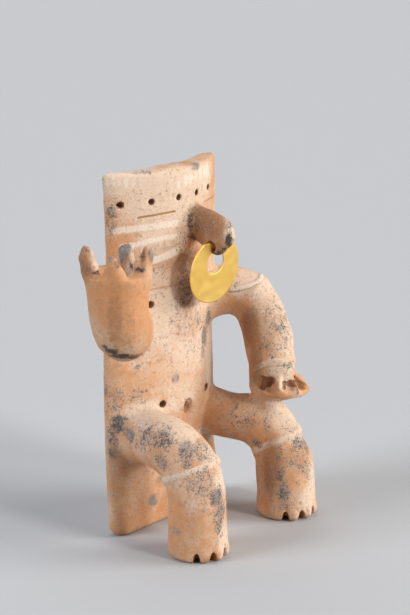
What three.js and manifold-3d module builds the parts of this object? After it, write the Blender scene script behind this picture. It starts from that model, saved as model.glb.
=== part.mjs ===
// Seated slab figure of fired clay with a sheet-gold nose ring.
// Millimetres, +Z up. The figure faces -Y and its own left side is +X.
// The slab and both feet stand on Z = 0, and the slab's underside lies round the origin.
import * as THREE from 'three';
import { mergeVertices } from 'three/addons/utils/BufferGeometryUtils.js';
import Module from 'manifold-3d';

const wasm = await Module();
wasm.setup();

// Driving sizes of the slab that is head and body in one
const SLAB_HEIGHT = 240;
const SLAB_HALF_WIDTH = 55.2;
const SLAB_CORNER = 6;
const SLAB_EDGE_ROUND = 7;
const SLAB_SEAT = 7;
const TOP_LIP = 2.2;
const TOP_LIP_DEPTH = 2.6;
const TOP_SLOPE = 0.024;
const FOOT_BEVEL = 1.4;

// Driving sizes of the legs
const FOOT_X = 47.5;
const FOOT_FORWARD = 67.5;
const SHIN_RADIUS = 19.2;
const THIGH_RADIUS = 18.6;
const SOLE_ROUND = 2.4;
const BAND_HEIGHT = 1.3;
const BAND_WIDTH = 0.018;
const TOE_NOTCHES = 4;
const TOE_STEP = 0.576;
const TOE_START = -0.934;
const TOE_NOTCH_RADIUS = 3.6;
const TOE_NOTCH_HEIGHT = 9.5;

// Driving sizes of the raised right hand
const PALM_X = -92;
const PALM_FORWARD = 40.5;
const PALM_Z = 191;
const PALM_RADIUS = 21.6;
const PALM_HOLLOW = 11.5;

// Each finger as its turn about the palm, its height over the rim and its thickness
const FINGERS = [[4.05, 16.5, 5], [2.58, 13, 5.4], [0.91, 15, 5], [-0.38, 13.5, 4.8]];

// Driving sizes of the left hand, with the turn of each hollow between its fingers
const HAND_X = 52;
const HAND_FORWARD = 60;
const HAND_Z = 83;
const HAND_RADIUS = 19;
const HAND_HOLLOWS = [-1.4, -0.6, 0.02, 0.7];
const HAND_HOLLOW_RADIUS = 4.8;

// Driving sizes of the holes
const PIERCED_HOLE = 4.2;
const BROW_Z = 220.5;
const BROW_X = [-48.5, -29.5, -8, 10.5, 28];
const PIT_DEPTH = 9;

// Pits that stop inside the clay: across, up and radius
const PITS = [[-30.3, 153, 2.4], [-22.5, 84.5, 2.6], [22.5, 84.5, 2.6]];

// Driving sizes of the nose and its ring
const NOSE_X = 6.5;
const NOSE_HALF_WIDTH = 7;
const LOBE_HALF_DEPTH = 8.4;
const LOBE_HALF_HEIGHT = 10;
const SEPTUM_FORWARD = 40.5;
const SEPTUM_Z = 189.3;
const SEPTUM_HOLE = 7.4;
const RING_RADIUS = 22.6;
const RING_SHEET = 1.1;
const RING_DROP = 17;
const RING_EYE_RADIUS = 7.7;
const RING_EYE_RAISE = 5.2;
const RING_TONGUE_LOW = 2.6;
const RING_TONGUE_HIGH = 2.2;
const RING_GAP = 2.4;
const RING_LEAN = 0.11;
const RING_TURN = -0.1;

const SIDEWAYS = new THREE.Vector3(1, 0, 0);
const LENGTHWAYS = new THREE.Vector3(0, 1, 0);
const UPWARD = new THREE.Vector3(0, 0, 1);

// A point given as across, forward and up
function at(x, forward, z) {
  return new THREE.Vector3(x, SLAB_SEAT - forward, z);
}

function lerp(a, b, t) {
  return a + (b - a) * t;
}

// Value of a smooth curve through [position, value] pairs
function along(pairs, position) {
  const last = pairs.length - 1;
  const place = Math.min(Math.max(position, pairs[0][0]), pairs[last][0]);
  const i = Math.max(1, pairs.findIndex((pair) => pair[0] >= place));
  const t = (place - pairs[i - 1][0]) / (pairs[i][0] - pairs[i - 1][0]);
  return lerp(pairs[i - 1][1], pairs[i][1], t * t * (3 - 2 * t));
}

// Closed skin over a stack of rings that all have the same number of points
function loft(rings) {
  const sides = rings[0].length;
  const positions = [];
  const index = [];
  for (const ring of rings) {
    for (const p of ring) positions.push(p.x, p.y, p.z);
  }
  for (let r = 0; r < rings.length - 1; r += 1) {
    for (let s = 0; s < sides; s += 1) {
      const a = r * sides + s;
      const b = r * sides + (s + 1) % sides;
      index.push(a, b, b + sides, a, b + sides, a + sides);
    }
  }
  for (const end of [0, rings.length - 1]) {
    const middle = new THREE.Vector3();
    for (const p of rings[end]) middle.addScaledVector(p, 1 / sides);
    const hub = positions.length / 3;
    positions.push(middle.x, middle.y, middle.z);
    for (let s = 0; s < sides; s += 1) {
      const a = end * sides + s;
      const b = end * sides + (s + 1) % sides;
      if (end === 0) {
        index.push(hub, b, a);
      } else {
        index.push(hub, a, b);
      }
    }
  }
  const geometry = new THREE.BufferGeometry();
  geometry.setAttribute('position', new THREE.Float32BufferAttribute(positions, 3));
  geometry.setIndex(index);
  return geometry;
}

// Signed volume, positive where the faces point outward
function volumeOf(geometry) {
  const p = geometry.attributes.position;
  const i = geometry.index;
  const a = new THREE.Vector3();
  const b = new THREE.Vector3();
  const c = new THREE.Vector3();
  let sum = 0;
  for (let t = 0; t < i.count; t += 3) {
    a.fromBufferAttribute(p, i.getX(t));
    b.fromBufferAttribute(p, i.getX(t + 1));
    c.fromBufferAttribute(p, i.getX(t + 2));
    sum += a.dot(b.cross(c)) / 6;
  }
  return sum;
}

// A solid for joining and cutting, from any closed geometry
function solid(source) {
  const plain = source.clone();
  plain.deleteAttribute('normal');
  plain.deleteAttribute('uv');
  const merged = mergeVertices(plain, 1e-4);
  const triVerts = new Uint32Array(merged.index.array);
  if (volumeOf(merged) < 0) {
    for (let t = 0; t < triVerts.length; t += 3) {
      [triVerts[t + 1], triVerts[t + 2]] = [triVerts[t + 2], triVerts[t + 1]];
    }
  }
  const vertProperties = new Float32Array(merged.attributes.position.array);
  return new wasm.Manifold(new wasm.Mesh({ numProp: 3, vertProperties, triVerts }));
}

function geometryOf(body) {
  const mesh = body.getMesh();
  const geometry = new THREE.BufferGeometry();
  geometry.setAttribute('position', new THREE.Float32BufferAttribute(mesh.vertProperties, 3));
  geometry.setIndex(Array.from(mesh.triVerts));
  geometry.computeVertexNormals();
  return geometry;
}

// Outline of the slab by height: how far forward its face and back lie on the middle line,
// how strongly both are bowed per thousand, and how it widens and leans to one side
const FACE_FORWARD = [[0, 14], [45, 17], [85, 22.4], [130, 21], [180, 22], [240, 22.5]];
const FACE_BOW = [[0, 0.4], [45, 4], [85, 6.4], [130, 6.4], [180, 6.4], [240, 6.6]];
const BACK_FORWARD = [[0, 0], [85, 1], [240, 3]];
const BACK_BOW = [[0, 0], [45, 1.3], [85, 2.1], [240, 2.2]];
const SLAB_WIDER = [[0, 0.4], [50, -1], [110, -1.8], [150, -1.2], [200, 0]];
const SLAB_ASIDE = [[0, -3], [50, -1.8], [110, -1.8], [200, 0]];

function faceForward(x, z) {
  return along(FACE_FORWARD, z) - along(FACE_BOW, z) * (x * x) / 1000;
}

function backForward(x, z) {
  return along(BACK_FORWARD, z) - along(BACK_BOW, z) * (x * x) / 1000;
}

// One level section of the slab, with rounded edges; the top falls a little to one side
function slabSection(z, shrink) {
  const steps = 15;
  const cornerTop = Math.max(0, z - (SLAB_HEIGHT - SLAB_CORNER)) / SLAB_CORNER;
  const cornerFoot = Math.max(0, SLAB_CORNER - z) / SLAB_CORNER;
  const corner = 1 - Math.sqrt(1 - Math.max(cornerTop, cornerFoot) ** 2 * 0.96);
  const half = SLAB_HALF_WIDTH - corner * SLAB_CORNER + along(SLAB_WIDER, z);
  const fall = TOP_SLOPE * Math.max(0, z - BROW_Z) / (SLAB_HEIGHT - BROW_Z);
  const front = [];
  const back = [];
  for (let i = 0; i <= steps; i += 1) {
    const x = half * Math.sin((i / steps - 0.5) * Math.PI);
    const past = Math.max(0, Math.abs(x) - (half - SLAB_EDGE_ROUND)) / SLAB_EDGE_ROUND;
    const round = Math.sqrt(Math.max(0, 1 - past * past));
    const middle = (faceForward(x, z) + backForward(x, z)) / 2;
    const deep = (faceForward(x, z) - backForward(x, z)) / 2 - shrink;
    const level = z - fall * (x + half);
    const aside = x + along(SLAB_ASIDE, z);
    front.push(at(aside, middle + deep * round, level));
    if (i > 0 && i < steps) {
      back.unshift(at(aside, middle - deep * round, level));
    }
  }
  return front.concat(back);
}

// Everything behind the slab's back, to trim limbs that start inside the slab
function behindSlab() {
  const reach = SLAB_HALF_WIDTH * 2;
  const rings = [];
  for (let z = -20; z <= SLAB_HEIGHT + 20; z += 20) {
    const ring = [at(reach, -reach, z), at(-reach, -reach, z)];
    for (let x = -reach; x <= reach; x += reach / 10) {
      ring.push(at(x, backForward(x, z) + 0.3, z));
    }
    rings.push(ring);
  }
  return solid(loft(rings));
}

function slab() {
  const rings = [slabSection(0, FOOT_BEVEL), slabSection(1.2, FOOT_BEVEL / 3), slabSection(3.5, 0)];
  for (let z = 14; z < SLAB_HEIGHT - 8; z += 13) rings.push(slabSection(z, 0));
  for (const down of [5, TOP_LIP_DEPTH, 1, 0]) {
    const lip = TOP_LIP * Math.max(0, 1 - down / TOP_LIP_DEPTH) ** 1.5;
    rings.push(slabSection(SLAB_HEIGHT - down, lip));
  }
  return solid(loft(rings));
}

// Places along a limb, as [place, raise], with the rings that shape each raised band
function limbPlaces(steps, bands) {
  const plain = [];
  for (let i = 0; i <= steps; i += 1) plain.push([i / steps, 0]);
  const clear = plain.filter(([u]) => bands.every((band) => Math.abs(u - band) > BAND_WIDTH));
  for (const band of bands) {
    for (const [off, raise] of [[-1, 0], [-0.45, BAND_HEIGHT], [0.45, BAND_HEIGHT], [1, 0]]) {
      clear.push([band + off * BAND_WIDTH, raise]);
    }
  }
  return clear.sort((p, q) => p[0] - q[0]);
}

// A round limb through stations, each a centre with two half sizes; the first half size is
// measured along the direction named across
function limb(stations, sides, steps, across, bands = [], flatEnd = null) {
  const centres = stations.map((station) => station[0]);
  const sizes = stations.map((station) => new THREE.Vector3(station[1], station[2], 0));
  const centre = new THREE.CatmullRomCurve3(centres, false, 'centripetal');
  const size = new THREE.CatmullRomCurve3(sizes, false, 'centripetal');
  let wide = across.clone();
  const rings = [];
  for (const [u, raise] of limbPlaces(steps, bands)) {
    const middle = centre.getPoint(u);
    const ahead = centre.getTangent(u);
    wide = wide.addScaledVector(ahead, -wide.dot(ahead)).normalize();
    const high = new THREE.Vector3().crossVectors(ahead, wide).normalize();
    const half = size.getPoint(u);
    const ring = [];
    for (let k = 0; k < sides; k += 1) {
      const angle = (k / sides) * Math.PI * 2;
      const point = middle.clone();
      point.addScaledVector(wide, Math.cos(angle) * (half.x + raise));
      point.addScaledVector(high, Math.sin(angle) * (half.y + raise));
      if (flatEnd !== null && u === 1) point.z = flatEnd;
      ring.push(point);
    }
    rings.push(ring);
  }
  return solid(loft(rings));
}

// A straight pin along a direction, for cutting holes
function pin(middle, direction, radius, length) {
  const geometry = new THREE.CylinderGeometry(radius, radius, length, 12);
  geometry.applyQuaternion(new THREE.Quaternion().setFromUnitVectors(LENGTHWAYS, direction));
  geometry.translate(middle.x, middle.y, middle.z);
  return solid(geometry);
}

// A ball or an egg shape about a point
function ball(middle, halfWidth, halfDepth, halfHeight, sides = 10) {
  const geometry = new THREE.SphereGeometry(1, sides, Math.round(sides * 0.7));
  geometry.scale(halfWidth, halfDepth, halfHeight);
  geometry.translate(middle.x, middle.y, middle.z);
  return solid(geometry);
}

// The notches that part the toes, cut upward into the front of a foot
function toeNotches(x) {
  const notches = [];
  const rim = SHIN_RADIUS - 1;
  for (let i = 0; i < TOE_NOTCHES; i += 1) {
    const turn = TOE_START + i * TOE_STEP;
    const notch = new THREE.ConeGeometry(TOE_NOTCH_RADIUS, TOE_NOTCH_HEIGHT, 8);
    notch.rotateX(Math.PI / 2);
    const foot = at(x + Math.sin(turn) * rim, FOOT_FORWARD + Math.cos(turn) * rim, 0);
    notch.translate(foot.x, foot.y, TOE_NOTCH_HEIGHT / 2 - 1.5);
    notches.push(solid(notch));
  }
  return notches;
}

// The right leg bends at the knee and ends in a flat round foot
function rightLeg() {
  const s = SHIN_RADIUS;
  const t = THIGH_RADIUS;
  const x = -FOOT_X;
  const stations = [
    [at(-35, 0, 66), 15, t + 1],
    [at(-36, 12, 66), 16.5, t],
    [at(-39.5, 28, 66.6), t, t - 0.3],
    [at(-44, 44, 65.6), t, t - 0.3],
    [at(-46.8, 58.8, 58.8), t + 0.4, t - 1.2],
    [at(x, 66.2, 43), s, s - 1.2],
    [at(x, 67, 27), s - 0.2, s - 0.6],
    [at(x, FOOT_FORWARD, 12), s, s],
    [at(x, FOOT_FORWARD, 3), s + 0.4, s + 0.4],
    [at(x, FOOT_FORWARD, 0), s + 0.4 - SOLE_ROUND, s + 0.4 - SOLE_ROUND],
  ];
  const body = limb(stations, 24, 21, SIDEWAYS, [0.475], 0);
  return toeNotches(x).reduce((rest, notch) => rest.subtract(notch), body);
}

// The left thigh is thinner at the body than the right one, and its shin is a little stouter
function leftLeg() {
  const s = SHIN_RADIUS + 0.6;
  const t = THIGH_RADIUS;
  const x = FOOT_X + 0.5;
  const stations = [
    [at(35, 0, 64), 15, t - 1.6],
    [at(36, 12, 64), 16.5, t - 1.8],
    [at(39.5, 28, 62.3), t - 0.6, t - 3.5],
    [at(44, 44, 62), t, t - 1.6],
    [at(46.6, 56.8, 54.2), t + 0.2, t - 1.6],
    [at(x, 65, 42), s - 0.4, s - 0.6],
    [at(x, 67, 27), s - 0.1, s - 0.2],
    [at(x, FOOT_FORWARD + 0.6, 12), s, s],
    [at(x, FOOT_FORWARD + 0.6, 3), s + 0.4, s + 0.4],
    [at(x, FOOT_FORWARD + 0.6, 0), s + 0.4 - SOLE_ROUND, s + 0.4 - SOLE_ROUND],
  ];
  const body = limb(stations, 24, 21, SIDEWAYS, [0.495], 0);
  return toeNotches(x).reduce((rest, notch) => rest.subtract(notch), body);
}

// The left arm comes out of the slab's edge, bends down and rests its hand on the knee, where
// the palm is pressed into the thigh
function leftArm() {
  const stations = [
    [at(36, 2, 142), 15, 18],
    [at(46, 9, 145), 15, 17.5],
    [at(55, 18, 145.5), 15.5, 16.6],
    [at(62, 29, 139), 16, 16.2],
    [at(62, 38.5, 124), 16, 16],
    [at(56.6, 46.5, 109), 15.8, 15.8],
    [at(52.2, 53.4, 100), 15.6, 15.6],
    [at(51.4, 57.4, 94), 16.2, 16.2],
    [at(51.6, 59.2, 88), HAND_RADIUS, HAND_RADIUS],
    [at(HAND_X, HAND_FORWARD, HAND_Z), HAND_RADIUS - 0.8, HAND_RADIUS - 0.8],
    [at(HAND_X, HAND_FORWARD, HAND_Z - 1.4), HAND_RADIUS - 3.5, HAND_RADIUS - 3.5],
  ];
  let body = limb(stations, 24, 20, new THREE.Vector3(0.5, 0.8, 0), [0.28]);
  const rim = HAND_RADIUS - 1;
  for (const turn of HAND_HOLLOWS) {
    const place = at(HAND_X + Math.sin(turn) * rim, HAND_FORWARD + Math.cos(turn) * rim, HAND_Z + 8.5);
    body = body.subtract(ball(place, HAND_HOLLOW_RADIUS, HAND_HOLLOW_RADIUS, HAND_HOLLOW_RADIUS + 1));
  }
  const pressed = at(HAND_X - 3, HAND_FORWARD - 6.5, HAND_Z - 5);
  return body.add(ball(pressed, 14.5, 13.5, 8, 12));
}

// The right arm reaches out and turns straight up, and ends in a cupped hand
function rightArm() {
  const stations = [
    [at(-38, 3, 142), 15, 13.5],
    [at(-50, 14, 144.5), 15.5, 15],
    [at(-64, 24.5, 147), 16.8, 16.6],
    [at(-79, 34, 148.2), 17.8, 17.8],
    [at(-88.5, 38.8, 159), 18.2, 18.2],
    [at(PALM_X, PALM_FORWARD, 175), 19, 19],
    [at(PALM_X, PALM_FORWARD, PALM_Z - 5), PALM_RADIUS - 0.8, PALM_RADIUS - 0.8],
    [at(PALM_X, PALM_FORWARD, PALM_Z), PALM_RADIUS, PALM_RADIUS],
  ];
  let body = limb(stations, 24, 17, UPWARD);
  for (const [turn, tall, thick] of FINGERS) {
    const out = (r, up) => {
      return at(PALM_X + Math.cos(turn) * r, PALM_FORWARD + Math.sin(turn) * r, PALM_Z + up);
    };
    const finger = [
      [out(13, -9), thick + 1, thick + 1],
      [out(15.5, 0), thick + 0.8, thick + 0.6],
      [out(17.6, tall * 0.45), thick - 0.4, thick - 0.6],
      [out(18.8, tall * 0.85), thick - 1.6, thick - 1.8],
      [out(19, tall), 0.9, 0.9],
    ];
    body = body.add(limb(finger, 10, 7, SIDEWAYS));
  }
  const cup = at(PALM_X, PALM_FORWARD, PALM_Z + 3.5);
  return body.subtract(ball(cup, PALM_HOLLOW, PALM_HOLLOW, PALM_HOLLOW, 14));
}

// The nose is a blunt beak, and a lobe hangs from its tip
function nose() {
  const w = NOSE_HALF_WIDTH;
  const stations = [
    [at(NOSE_X, 10, 202), w + 4, 15],
    [at(NOSE_X, 20, 202), w + 2, 13],
    [at(NOSE_X, 27, 201.5), w + 0.6, 12],
    [at(NOSE_X, 36, 198.5), w, 13],
    [at(NOSE_X, 44.5, 196.6), w, 11.2],
    [at(NOSE_X, 51, 197.4), w - 1, 7.2],
    [at(NOSE_X, 54, 198), 2.5, 3],
  ];
  const lobe = at(NOSE_X, SEPTUM_FORWARD + 0.8, SEPTUM_Z + 3);
  const beak = limb(stations, 18, 13, SIDEWAYS);
  return beak.add(ball(lobe, w, LOBE_HALF_DEPTH, LOBE_HALF_HEIGHT, 14));
}

// The lobe is pierced from side to side, the brow right through, and the pits stop short
function holes() {
  const septum = at(NOSE_X, SEPTUM_FORWARD, SEPTUM_Z);
  const cuts = [pin(septum, SIDEWAYS, SEPTUM_HOLE / 2, SEPTUM_HOLE * 8)];
  for (const x of BROW_X) {
    cuts.push(pin(at(x, 5, BROW_Z), LENGTHWAYS, PIERCED_HOLE / 2, 80));
  }
  for (const [x, z, radius] of PITS) {
    cuts.push(pin(at(x, faceForward(x, z), z), LENGTHWAYS, radius, PIT_DEPTH * 2));
  }
  return cuts;
}

function clayFigure() {
  const limbs = rightLeg().add(leftLeg()).add(leftArm()).add(rightArm()).add(nose());
  let body = slab().add(limbs.subtract(behindSlab()));
  for (const cut of holes()) body = body.subtract(cut);
  return body;
}

// Flat crescent of sheet gold: a round disc with a raised eye, open at the top where its two
// tongues pass into the pierced lobe from either side
function noseRing() {
  const low = RING_DROP - RING_TONGUE_LOW;
  const high = RING_DROP + RING_TONGUE_HIGH;
  const shoulder = Math.asin(high / RING_RADIUS);
  const eyeTurn = 0.3 * Math.asin(Math.min(1, (low - 0.4 - RING_EYE_RAISE) / RING_EYE_RADIUS));
  const outline = new THREE.Shape();
  outline.moveTo(RING_GAP / 2, high);
  outline.lineTo(Math.cos(shoulder) * RING_RADIUS, high);
  outline.absarc(0, 0, RING_RADIUS, shoulder, Math.PI - shoulder, true);
  outline.lineTo(-RING_GAP / 2, high);
  outline.lineTo(-RING_GAP / 2, low);
  outline.lineTo(-RING_EYE_RADIUS, low);
  outline.absarc(0, RING_EYE_RAISE, RING_EYE_RADIUS, Math.PI - eyeTurn, eyeTurn, false);
  outline.lineTo(RING_EYE_RADIUS, low);
  outline.lineTo(RING_GAP / 2, low);
  outline.closePath();
  const sheet = { depth: RING_SHEET, bevelEnabled: false, curveSegments: 26 };
  const geometry = new THREE.ExtrudeGeometry(outline, sheet);
  const septum = at(NOSE_X, SEPTUM_FORWARD, SEPTUM_Z);
  geometry.translate(0, -RING_DROP, -RING_SHEET / 2);
  geometry.rotateX(Math.PI / 2 + RING_LEAN);
  geometry.rotateZ(RING_TURN);
  geometry.translate(septum.x, septum.y, septum.z);
  return geometry;
}

const clay = new THREE.MeshStandardMaterial({ color: 0xc08a63, roughness: 0.85, metalness: 0 });
const gold = new THREE.MeshStandardMaterial({ color: 0xd9ab3a, roughness: 0.35, metalness: 1 });

const figure = new THREE.Group();

const clayMesh = new THREE.Mesh(geometryOf(clayFigure()), clay);
clayMesh.name = 'clay_figure';
figure.add(clayMesh);

const ringMesh = new THREE.Mesh(geometryOf(solid(noseRing())), gold);
ringMesh.name = 'gold_nose_ring';
figure.add(ringMesh);

export default figure;
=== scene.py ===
import math
import bpy
import numpy as np
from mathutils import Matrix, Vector


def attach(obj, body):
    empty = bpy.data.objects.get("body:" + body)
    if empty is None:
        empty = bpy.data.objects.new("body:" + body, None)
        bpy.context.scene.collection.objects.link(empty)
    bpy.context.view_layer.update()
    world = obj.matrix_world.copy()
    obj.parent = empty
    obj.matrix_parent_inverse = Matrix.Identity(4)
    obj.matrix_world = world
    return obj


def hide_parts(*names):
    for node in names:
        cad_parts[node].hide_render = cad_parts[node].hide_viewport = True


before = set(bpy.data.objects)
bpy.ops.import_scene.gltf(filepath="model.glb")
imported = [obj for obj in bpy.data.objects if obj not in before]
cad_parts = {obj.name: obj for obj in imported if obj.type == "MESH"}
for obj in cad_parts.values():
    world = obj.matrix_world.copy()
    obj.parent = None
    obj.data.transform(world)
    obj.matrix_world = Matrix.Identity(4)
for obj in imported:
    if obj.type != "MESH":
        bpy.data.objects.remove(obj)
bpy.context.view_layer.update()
scene = bpy.context.scene
MM = 0.001
WEIGHT_STEPS = 20
NOWHERE_NEAR = 99.0
SKIN = 0.9
MOST_TRIANGLES = 190000


# Tools of the bench

def only(piece):
    """Makes one piece the selected and active one."""
    bpy.ops.object.select_all(action="DESELECT")
    piece.select_set(True)
    bpy.context.view_layer.objects.active = piece


def work(piece, kind, **settings):
    """One modifier, set and applied at once."""
    only(piece)
    step = piece.modifiers.new(kind.lower(), kind)
    for name, value in settings.items():
        setattr(step, name, value)
    bpy.ops.object.modifier_apply(modifier=step.name)


def points_of(piece):
    """The piece's points, in millimetres."""
    flat = np.empty(len(piece.data.vertices) * 3, np.float32)
    piece.data.vertices.foreach_get("co", flat)
    return flat.reshape(-1, 3).astype(float) / MM


def outward_of(piece):
    """The way out of the piece at each of its points."""
    flat = np.empty(len(piece.data.vertices) * 3, np.float32)
    piece.data.vertex_normals.foreach_get("vector", flat)
    return flat.reshape(-1, 3).astype(float)


def set_points(piece, points):
    """Moves the piece's points to places given in millimetres."""
    piece.data.vertices.foreach_set("co", (points * MM).astype(np.float32).ravel())
    piece.data.update()


def hold(piece, name, weights):
    """A vertex group with a weight for every point, in steps of a twentieth."""
    group = piece.vertex_groups.new(name=name)
    level = np.round(np.clip(weights, 0, 1) * WEIGHT_STEPS).astype(int)
    for step in range(1, WEIGHT_STEPS + 1):
        members = np.nonzero(level == step)[0]
        if len(members):
            group.add(members.tolist(), step / WEIGHT_STEPS, "REPLACE")
    return name


def fade(value, full, none):
    """1 at full, 0 at none, with soft ends."""
    share = np.clip((value - none) / (full - none), 0, 1)
    return share * share * (3 - 2 * share)


def near(points, spots):
    """1 within each spot's radius, fading to 0 at half as far again."""
    close = np.zeros(len(points))
    for x, y, z, radius in spots:
        away = np.linalg.norm(points - (x, y, z), axis=1)
        close = np.maximum(close, fade(away, radius, radius * 1.5))
    return close


def about(points, middle):
    """Each point about an upright line: its distance, its turn from the front and its way out."""
    x, y = points[:, 0] - middle[0], points[:, 1] - middle[1]
    away = np.hypot(x, y)
    out = np.stack([x, y, np.zeros(len(x))], 1) / np.maximum(away, 1)[:, None]
    return away, np.arctan2(x, -y), out


def along_stroke(points, outward, path, reach=8, thick=4):
    """How far each point lies from a stroke drawn on the surface, measured along the clay.
    Points further off than reach, or more than thick above or below the stroke, are left out."""
    far = np.full(len(points), NOWHERE_NEAR)
    path = np.array(path, float)
    box = np.all((points > path.min(0) - reach) & (points < path.max(0) + reach), axis=1)
    some = points[box]
    best = np.full(len(some), NOWHERE_NEAR)
    for start, end in zip(path, path[1:]):
        step = end - start
        share = np.clip((some - start) @ step / (step @ step), 0, 1)
        off = some - start - share[:, None] * step
        rise = np.einsum("ij,ij->i", off, outward[box])
        level = np.sqrt(np.maximum((off ** 2).sum(1) - rise ** 2, 0))
        best = np.minimum(best, np.where(abs(rise) < thick, level, NOWHERE_NEAR))
    far[box] = best
    return far


# The shape of the clay

# The way across and into the picture, as the photograph was taken
ACROSS = np.array((0.614, -0.789, 0))
INWARD = np.array((0.789, 0.614, 0))

# Strokes cut or laid on the clay, each a path over the surface. Most points were picked by eye in
# the photograph and turned to millimetres on the clay by a scratch script.
EYE_RIGHT = [(-38.6, -5.5, 211.2), (-33.5, -7.8, 211.6), (-26.8, -10.6, 211.7),
             (-19.3, -12.7, 211.9), (-11.9, -14.1, 211.8)]
EYE_LEFT = [(21.6, -12.1, 211.9), (29.9, -9.4, 211.8), (44.6, -2.3, 210.5)]
JAW = [(-53, 3, 160.5), (-43, -3, 162), (-29, -9.5, 163.1), (-18.5, -12.6, 163.2),
       (-6, -14.6, 162.5), (8, -14.6, 162), (24, -11.6, 161.8), (40, -5, 161)]
SHOULDER_STRIP = [(42.3, -19.2, 149.6), (46, -23, 150.4), (51.3, -27.4, 151.8),
                  (55.7, -29.9, 153.7), (61.1, -29.3, 155.6), (66, -26, 157)]
SHOULDER_LINE = [(41.5, -17, 147.6), (45, -21.5, 148.2), (51, -26.6, 149.4), (56.5, -30, 151.6)]
WRIST_STRIP = [(37.2, -42.4, 99.8), (37.3, -48.1, 103.9), (38.8, -51.9, 106), (41.6, -55.6, 107),
               (44.8, -59, 106.6), (48.6, -61.9, 104.8), (52.6, -64.8, 100.9), (58, -66, 98)]
WRIST_LINE = [(37.2, -42.4, 97.4), (36.5, -48.7, 101.2), (38.1, -54, 103.6),
              (40.8, -57.8, 104.3), (44, -61.3, 103.6)]

# Stripes painted on the right cheek, and the width of each
STRIPES = [
    [(-51.6, 2.7, 204), (-46.4, -1.2, 204.2), (-39.3, -5.1, 204.4), (-30.9, -8.9, 204.5),
     (-21.5, -12, 204.4), (-10.1, -14.3, 204)],
    [(-48, 0, 193.5), (-41.8, -3.8, 194), (-34.2, -7.4, 194.8), (-26, -10.6, 195.6),
     (-17.8, -13, 195.7), (-10.1, -14.2, 195.6)],
    [(-46, -1, 181), (-37, -6, 181.5), (-28.3, -9.9, 182.4), (-22.3, -11.7, 183.1),
     (-16.2, -13.3, 184.5), (-10.1, -14.2, 185.4)],
]
STRIPE_WIDTHS = [2.4, 1.9, 2.9]

# Creases at the roots of the raised hand's fingers: path, width and depth
HAND_CREASES = [
    ([(-106.5, -24.5, 191.8), (-103, -26.5, 191.5), (-95, -22, 190)], 1.0, 0.9),
    ([(-88, -47.5, 194.5), (-84.7, -50.5, 195), (-79, -51.5, 196.5)], 0.8, 0.7),
]

# The navel's dent and the two lumps in it: middle, half width, half height and depth
NAVEL = [((0.8, -14.6, 77.4), 4.6, 5.6, 3.6), ((2.2, -13.5, 79), 1.6, 2.2, -1.9),
         ((-0.8, -13.5, 74.8), 1.5, 1.9, -1.6)]

# The navel and the hole in the nose, each with its radius
NAVEL_SPOT = (0.5, -14, 77, 7)
NOSE_HOLE_SPOT = (6.5, -34, 189, 5)

# Raised bands below the knees: a point on the leg's middle line and the leg's direction there,
# and how far from that point a band can reach
KNEE_BANDS = [((-47.1, -54.3, 55), (0, -0.42, -0.907)), ((47.2, -54, 49.3), (0, -0.5, -0.866))]
LEG_REACH = 26

# The feet's middles and radius; the notches between toes, each as its turn about the foot
FEET = [(-47.5, -60.5), (48, -61.1)]
FOOT_RADIUS = 19.5
TOE_TURNS = [-0.96, -0.38, 0.2, 0.794]
NOTCH_HALF_WIDTH = 2.7
NOTCH_HEIGHT = 7.2

# The left hand's middle and radius, and a spot with a radius that takes in its rim
HAND_MIDDLE = (52, -53)
HAND_RADIUS = 17
HAND_RIM = (52, -58, 90, 20)

# Holes pierced right through the brow, and pits that stop inside the clay
PIERCED = [(-48.5, 0, 220.5), (-29.5, -6, 220.5), (-8, -10, 220.5), (10.5, -12, 220.5), (28, -8, 220.5)]
PITS = [(-30.3, -9, 153), (-22.5, -11, 84.5), (27.4, -8, 83)]
HOLE_RADIUS = 2.0
PIT_RADIUS = 2.3

# Places that keep their shape while the rest is rubbed even, each with its radius
FINE_SPOTS = [(x, y, z, 4) for x, y, z in PIERCED + PITS] + [
    (6.5, -34, 189.3, 9), (6.5, -43, 197, 9), (-108.8, -42, 203, 6), (-108, -36, 206, 6),
    (-98, -53, 204, 6), (-79, -27, 207, 6), (-80, -48, 206, 6), (-105, -18, 207, 6),
    (-92, -33.5, 192, 10), (22.5, -10, 84.5, 4),
]

# Places where two forms run into each other over a wide fillet, and the roots of the raised
# hand's fingers, each with its radius
FILLETS = [
    (44, -12, 150, 15), (46, -6, 132, 10), (-48, -9, 150, 15), (-44, -10, 132, 10),
    (-54, -9, 66, 9), (-36, -14, 84, 13), (-34, -14, 52, 12), (36, -13, 80, 13),
    (36, -13, 50, 11), (47, -54, 71, 12), (-14, -14, 68, 9), (16, -14, 66, 9),
    (6.5, -17, 213, 8), (-1, -16, 200, 6), (14, -16, 200, 6), (6.5, -16, 190, 6),
]
FINGER_ROOTS = [(-103, -21, 193, 6), (-106, -42, 193, 6), (-83, -46, 194, 6), (-77, -28, 193, 6),
                (-107, -32, 190, 5), (-95, -53, 190, 5), (-75, -38, 190, 5)]

# Extra pats of clay: middle, half sizes and turn about the upright, to thicken the finger
# roots and to bed the left hand on the knee
PATS = [
    ((-102.5, -20.5, 192), (4.6, 7.6, 8), -0.9), ((-106, -42.2, 192.5), (4.4, 7.8, 8), 0.56),
    ((-82.6, -46.6, 193.5), (4.4, 7.2, 8.5), -0.91), ((-76.6, -27.6, 192), (4.4, 6.6, 8), 0.38),
    ((-75.8, -26.6, 201), (3.6, 5.2, 6.5), 0.38), ((-103.4, -19.4, 200), (4.2, 5, 6.5), -0.9),
    ((-84.8, -44.9, 193.6), (4.4, 6, 8.3), -0.91), ((46, -49, 70.5), (10.5, 11.5, 10), 0),
]

# How far the slab's edge on the figure's right stands proud at each height
EDGE_HEIGHTS = [0, 14, 60, 120, 150, 185, 208, 222, 240]
EDGE_PROUD = [0.8, 1.2, 2, 1.9, 1, 0, 0.2, 1.3, 1.6]

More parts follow.
